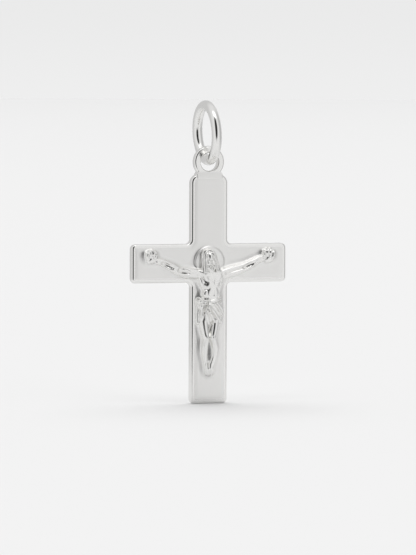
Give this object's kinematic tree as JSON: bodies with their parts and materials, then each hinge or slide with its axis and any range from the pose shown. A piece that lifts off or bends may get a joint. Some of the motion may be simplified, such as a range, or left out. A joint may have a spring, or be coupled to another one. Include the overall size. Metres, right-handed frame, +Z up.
{
  "type": "crucifix pendant",
  "caption": "Small silver Latin cross with rounded edges and a figure in relief on its front, hung by a round eye from a plain round jump ring.",
  "frame": {"origin": "the chain seat, the highest point of the inside of the jump ring", "axes": "+Z up the cross, +X across it to the viewer's right, -Y out of its front, where the figure is"},
  "size_m": [0.0132, 0.0052, 0.0243],
  "materials": {
    "struck_silver": "sterling silver, satin field with a polished figure and rim",
    "ring_silver": "polished sterling silver wire"
  },
  "bodies": {
    "ring": {"jump_ring": "ring_silver"},
    "cross": {"crucifix": "struck_silver"}
  },
  "joints": [
    {"name": "sideways_swing", "type": "hinge", "parent": "ring", "child": "cross", "pos_m": [0.00021, 0, -0.004], "axis": [0, 1, 0], "range_deg": [-90, 90]}
  ]
}
